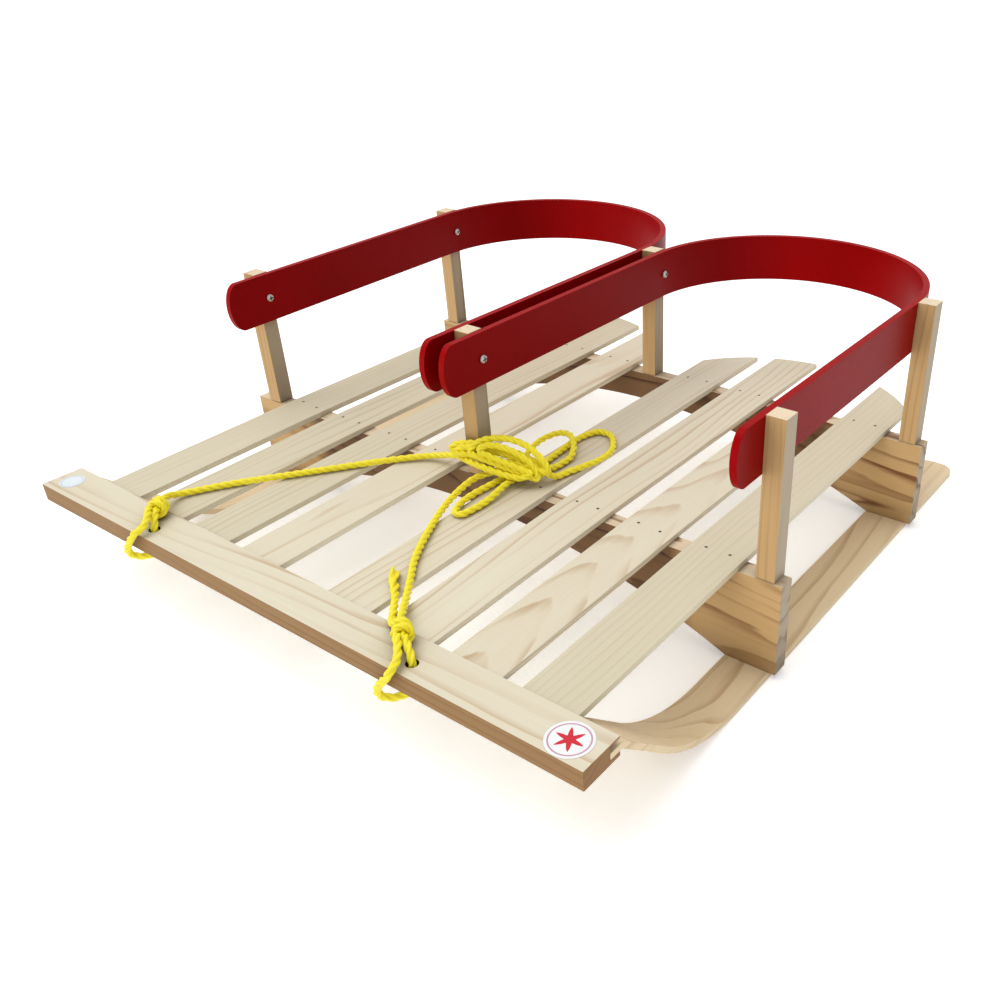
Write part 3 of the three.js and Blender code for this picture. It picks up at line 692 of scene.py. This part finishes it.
# the light wood, its clouds, the late wood and the fibres
PINE = (rgb(226, 220, 199), rgb(216, 205, 179), rgb(184, 152, 112), rgb(200, 184, 154))
PINE_SHADED = (rgb(216, 208, 184), rgb(205, 195, 167), rgb(172, 148, 110), rgb(188, 174, 142))
BOARD = (rgb(230, 208, 174), rgb(216, 190, 152), rgb(132, 90, 56), rgb(190, 158, 116))
STRIP = (rgb(232, 214, 182), rgb(216, 192, 152), rgb(170, 134, 92), rgb(196, 166, 126))
DOWEL_WOOD = (rgb(224, 196, 150), rgb(210, 178, 130), rgb(176, 138, 94), rgb(190, 156, 110))


# ------------------------------------------------------------------ pieces with eased edges

def add_eased(node, material, width=BOARD_EDGE, segments=2):
    """A copy of a CAD node with its sharp edges eased, which stands for it."""
    name = f"{node}_fine"
    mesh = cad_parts[node].data.copy()
    mesh.name = name
    mesh.materials.clear()
    work = bmesh.new()
    work.from_mesh(mesh)
    bmesh.ops.remove_doubles(work, verts=work.verts, dist=SAME_POINT)
    bmesh.ops.dissolve_limit(work, angle_limit=FLAT_ANGLE, verts=work.verts, edges=work.edges)
    work.to_mesh(mesh)
    work.free()
    mesh.shade_smooth()
    piece = add_piece(name, mesh, material)
    bevel = piece.modifiers.new("ease", "BEVEL")
    bevel.width = width
    bevel.segments = segments
    bevel.limit_method = "ANGLE"
    bevel.angle_limit = SHARP_ANGLE
    piece.modifiers.new("even", "WEIGHTED_NORMAL")
    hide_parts(node)


# One line for each slat: its wood's tones, ring spacing, how dark the ring lines are, how far the
# heart line lies to the left of the slat and above the ground, and how steeply it slopes.
SLATS = {
    1: (PINE_SHADED, 0.0062, 0.22, 0.16, -0.05, 0.01),
    2: (PINE_SHADED, 0.0080, 0.30, -0.13, -0.08, -0.02),
    3: (PINE_SHADED, 0.0068, 0.26, 0.20, -0.04, 0.02),
    4: (PINE, 0.0090, 0.40, -0.04, -0.06, -0.02),
    5: (PINE, 0.0072, 0.34, 0.15, -0.06, 0.02),
    6: (PINE, 0.0066, 0.40, -0.12, -0.05, 0.01),
    7: (PINE, 0.0042, 0.44, 0.00, -0.030, 0.045),
    8: (PINE_SHADED, 0.0064, 0.14, 0.22, -0.04, 0.00),
}


def add_crossbar():
    add_eased("front_crossbar", wood_material(
        "crossbar_pine", "X", PINE, seed=2.0, heart=(0.30, -0.02), ring=0.0062, line=0.40,
        tone_and_shade_by_facing=CROSSBAR_EDGE_GRAIN_AND_SHADE, hollow_shade_amount=0.4,
    ))


def add_slats():
    for number, (tones, ring, line, aside, above, tilt) in SLATS.items():
        low, high = corners(f"slat_{number}")
        add_eased(f"slat_{number}", wood_material(
            f"slat_{number}_pine", "Y", tones, seed=number * 1.7, ring=ring, line=line, tilt=tilt,
            heart=((low.x + high.x) / 2 + aside, above),
        ))


def add_bunks():
    for row, seed in (("front", 5.0), ("rear", 9.0)):
        add_eased(f"bunk_{row}", wood_material(
            f"bunk_{row}_board", "X", BOARD, seed=seed, heart=(0.04, 0.02), ring=0.017, line=0.6,
            tilt=0.12, wander=0.6, tone_and_shade_by_facing=BOARD_PAINTED_LIGHT_AND_SHADE, hollow_shade_amount=0.4, under_slats=True,
        ))


def add_runners():
    for side, seed in (("left", 3.0), ("right", 6.0)):
        add_eased(f"runner_{side}", wood_material(
            f"runner_{side}_ash", "Y", STRIP, seed=seed, heart=(0.1, -0.3), ring=0.011, line=0.34,
            tilt=0.03, hollow_shade_amount=0.12,
        ))


def add_posts():
    for index, node in enumerate(nodes_named("post_")):
        add_eased(node, wood_material(
            f"{node}_board", "Z", BOARD, seed=index * 1.9, heart=(0.1, 0), ring=0.006, line=0.22,
            tone_and_shade_by_facing=BOARD_PAINTED_LIGHT_AND_SHADE, hollow_shade_amount=0.3,
        ))


def add_dowels():
    beech = wood_material(
        "dowel_beech", "Z", DOWEL_WOOD, seed=4.0, heart=(0.02, 0), ring=0.003, line=0.3,
    )
    for node in nodes_named("dowel_"):
        clothe(node, beech)


# ------------------------------------------------------------------ screws and nails

def steel_material(name, tone, roughness):
    nodes = Nodes(name)
    position = nodes.position()
    scratches = nodes.noise(nodes.stretched(position, (1500, 300, 900)), detail=3)
    stained = tuple(0.62 * share for share in tone[:3]) + (1.0,)
    return nodes.finish(
        Base_Color=nodes.mix(nodes.noise(position, scale=420), tone, stained),
        Metallic=0.9,
        Roughness=nodes.scaled(scratches, 0.3, plus=roughness),
        Normal=nodes.bump(scratches, strength=0.3, distance=0.0001),
    )


def cross_recess(name, centre, outward, size, turn):
    """The cross of a screw's head: a four-armed prism let into it, with its top at the centre. Its
    near-black colour is painted shade in place of a real recess.
    """
    arm, half, depth = size * CROSS_ARM, size * CROSS_HALF_WIDTH, size * CROSS_DEPTH
    outline = [
        (arm, -half), (arm, half), (half, half), (half, arm), (-half, arm), (-half, half),
        (-arm, half), (-arm, -half), (-half, -half), (-half, -arm), (half, -arm), (half, -half),
    ]
    across = outward.orthogonal().normalized()
    side = across * math.cos(turn) + outward.cross(across) * math.sin(turn)
    rise = outward.cross(side)
    vertices = [centre + side * u + rise * v + outward * w for w in (-depth, 0) for u, v in outline]
    return ring_mesh(name, vertices, len(outline))


def runner_screw_face(node):
    """The place of a runner screw's cross, the way that it looks, and its size."""
    low, high = corners(node)
    centre = Vector(((low.x + high.x) / 2, (low.y + high.y) / 2, low.z - RUNNER_CROSS_PROUD))
    return centre, Vector((0, 0, -1)), RUNNER_CROSS_SIZE


def rail_screw_face(node):
    """The same for a rail screw, whose cross is as large as its head's radius allows. The shank
    tapers, so the head's end is the one with the wider section."""
    low, high = corners(node)
    middle = (low + high) / 2
    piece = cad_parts[node]
    points = [piece.matrix_world @ vertex.co for vertex in piece.data.vertices]
    axis = max(range(2), key=lambda k: high[k] - low[k])
    widths = []
    for value in (low[axis], high[axis]):
        near = [p.z for p in points if abs(p[axis] - value) < RAIL_SCREW_END]
        widths.append(max(near) - min(near))
    sign = 1 if widths[1] > widths[0] else -1
    tip = min(points, key=lambda p: sign * p[axis])
    centre = middle.copy()
    centre[axis] = max(points, key=lambda p: sign * p[axis])[axis]
    outward = (centre - Vector((tip.x, tip.y, middle.z))).normalized()
    return centre + outward * RAIL_CROSS_PROUD, outward, (high.z - low.z) / 2


def add_screws():
    bright = steel_material("screw_steel", (0.72, 0.70, 0.66, 1), 0.22)
    # The crosses' near-black steel is painted shade, standing in for the dark of a real recess.
    dark = steel_material("screw_recess_painted_shade", (0.05, 0.045, 0.04, 1), 0.5)
    rng = random.Random(3)
    for node in nodes_named("rail_screw_", "runner_screw_"):
        clothe(node, bright)
        face = runner_screw_face if node.startswith("runner_screw_") else rail_screw_face
        cross = cross_recess(f"{node}_cross", *face(node), rng.uniform(0, 1.5))
        add_piece(f"{node}_cross", cross, dark)


# A nail's head from its shank up: shares of its radius, and millimetres over the slat's face.
NAIL_PROFILE = [(1.0, -0.9), (1.0, 0.05), (0.9, 0.16), (0.55, 0.10)]


def nail_head(name, x, y, z, rng):
    """A low, slightly dished head that stands a touch over the slat's face and leans a little."""
    lean_x, lean_y = rng.uniform(-NAIL_LEAN, NAIL_LEAN), rng.uniform(-NAIL_LEAN, NAIL_LEAN)
    vertices = []
    for share, height in NAIL_PROFILE:
        for k in range(NAIL_SIDES):
            angle = 2 * math.pi * k / NAIL_SIDES
            u, v = share * NAIL_RADIUS * math.cos(angle), share * NAIL_RADIUS * math.sin(angle)
            vertices.append(place(x + u, y + v, z + height + lean_x * u + lean_y * v))
    mesh = ring_mesh(name, vertices, NAIL_SIDES)
    mesh.shade_smooth()
    return mesh


def add_nails():
    iron = steel_material("nail_iron", (0.16, 0.14, 0.12, 1), 0.4)
    rng = random.Random(8)
    across, along = NAIL_SCATTER
    for number in SLATS:
        low, high = corners(f"slat_{number}")
        middle = (low.x + high.x) / 2 / MM
        for row, y in NAIL_ROWS.items():
            for side, sign in (("right", -1), ("left", 1)):
                name = f"nail_{number}_{row}_{side}"
                nail_x = middle + sign * NAIL_OFFSET + rng.uniform(-across, across)
                nail_y = y + rng.uniform(-along, along)
                add_piece(name, nail_head(name, nail_x, nail_y, high.z / MM, rng), iron)


# ------------------------------------------------------------------ stickers

def label_material(name, centre, radius, emblem):
    """White paper disc with a plain thin ring and, if asked, a six-armed flake. It has no lettering."""
    nodes = Nodes(name)
    position = nodes.position()
    local = nodes.add("ShaderNodeVectorMath", {0: position, 1: centre}, operation="SUBTRACT")
    parts = nodes.split(local.outputs["Vector"])
    reach = nodes.math("DIVIDE", nodes.distance(parts["X"], parts["Y"]), radius)
    from_ring = nodes.math("ABSOLUTE", nodes.math("SUBTRACT", reach, LABEL_RING_RADIUS))
    ring = nodes.math("LESS_THAN", from_ring, LABEL_RING_HALF_WIDTH)
    wear = nodes.noise(position, scale=260, detail=3)
    paper = nodes.mix(wear, rgb(246, 246, 244), rgb(226, 228, 232))
    if emblem:
        bearing = nodes.math("ARCTAN2", parts["Y"], parts["X"])
        between_arms = nodes.math("ABSOLUTE", nodes.math("SINE", nodes.math("MULTIPLY", bearing, 3.0)))
        edge = nodes.scaled(nodes.math("SUBTRACT", 1.0, between_arms), FLAKE_ARM, plus=FLAKE_CORE)
        paper = nodes.mix(nodes.math("LESS_THAN", reach, edge), paper, rgb(206, 16, 40))
        paper = nodes.mix(ring, paper, rgb(196, 150, 160))
    else:
        sheen = nodes.math("MULTIPLY", nodes.noise(position, scale=60), 0.6)
        paper = nodes.mix(sheen, paper, rgb(178, 214, 232))
        paper = nodes.mix(nodes.math("MULTIPLY", ring, 0.6), paper, rgb(150, 164, 190))
    return nodes.finish(
        Base_Color=paper,
        Roughness=nodes.scaled(wear, 0.2, plus=0.3),
        Normal=nodes.bump(wear, strength=0.08, distance=0.0002),
    )


def add_labels():
    for node, emblem in (("label_left", True), ("label_right", False)):
        low, high = corners(node)
        paper = label_material(f"{node}_paper", (low + high) / 2, (high.x - low.x) / 2, emblem)
        clothe(node, paper)


# ------------------------------------------------------------------ painted rails

# Painted shade on the rails' faces that look left, away from the light.
RAIL_SIDE_PAINTED_SHADE = (0.62, 0.6, 0.9, 1.0)   # of the colour, on faces that look left


def rail_material():
    nodes = Nodes("rail_red")
    position = nodes.position()
    grain = nodes.noise(nodes.stretched(position, (60, 60, 900)), detail=3)
    paint = nodes.mix(nodes.noise(position, scale=14, detail=3), rgb(146, 0, 2), rgb(166, 0, 5))
    scuffs = nodes.above(nodes.noise(position, scale=70, detail=4, roughness=0.6), 0.62, 1.6, clamp=True)
    worn = nodes.mix(scuffs, paint, rgb(176, 8, 14))
    return nodes.finish(
        Base_Color=nodes.mix(nodes.facing((1, 0, 0)), worn, RAIL_SIDE_PAINTED_SHADE, "MULTIPLY"),
        Roughness=nodes.scaled(grain, 0.16, plus=0.3),
        Specular_IOR_Level=0.05,
        Normal=nodes.bump(grain, strength=0.2, distance=0.0003),
    )


def add_rails():
    red = rail_material()
    for side in ("left", "right"):
        add_eased(f"back_rail_{side}", red, RAIL_EDGE, segments=3)


# ------------------------------------------------------------------ floor and light

def add_floor():
    mesh = bpy.data.meshes.new("floor")
    work = bmesh.new()
    bmesh.ops.create_grid(work, x_segments=1, y_segments=1, size=FLOOR_HALF)
    work.to_mesh(mesh)
    work.free()
    mesh.materials.append(Nodes("floor_white").finish(
        Base_Color=(0.97, 0.97, 0.97, 1),
        Roughness=1.0,
        Specular_IOR_Level=0.0,
        Emission_Color=WHITE,
        Emission_Strength=FLOOR_GLOW,
    ))
    add_object("floor", mesh)


def add_light():
    world = bpy.data.worlds.new("studio")
    world.use_nodes = True
    background = world.node_tree.nodes["Background"]
    background.inputs["Color"].default_value = WHITE
    background.inputs["Strength"].default_value = WORLD_LIGHT
    bpy.context.scene.world = world
    bpy.context.scene.view_settings.view_transform = "Standard"
    data = bpy.data.lights.new("sun", "SUN")
    data.energy = SUN_LIGHT
    data.angle = SUN_SPREAD
    sun = add_object("sun", data)
    sun.rotation_euler = (-SUN_FROM).to_track_quat("-Z", "Y").to_euler()


add_camera()
add_rope()
add_crossbar()
add_slats()
add_bunks()
add_runners()
add_posts()
add_dowels()
add_rails()
add_screws()
add_nails()
add_labels()
add_floor()
add_light()
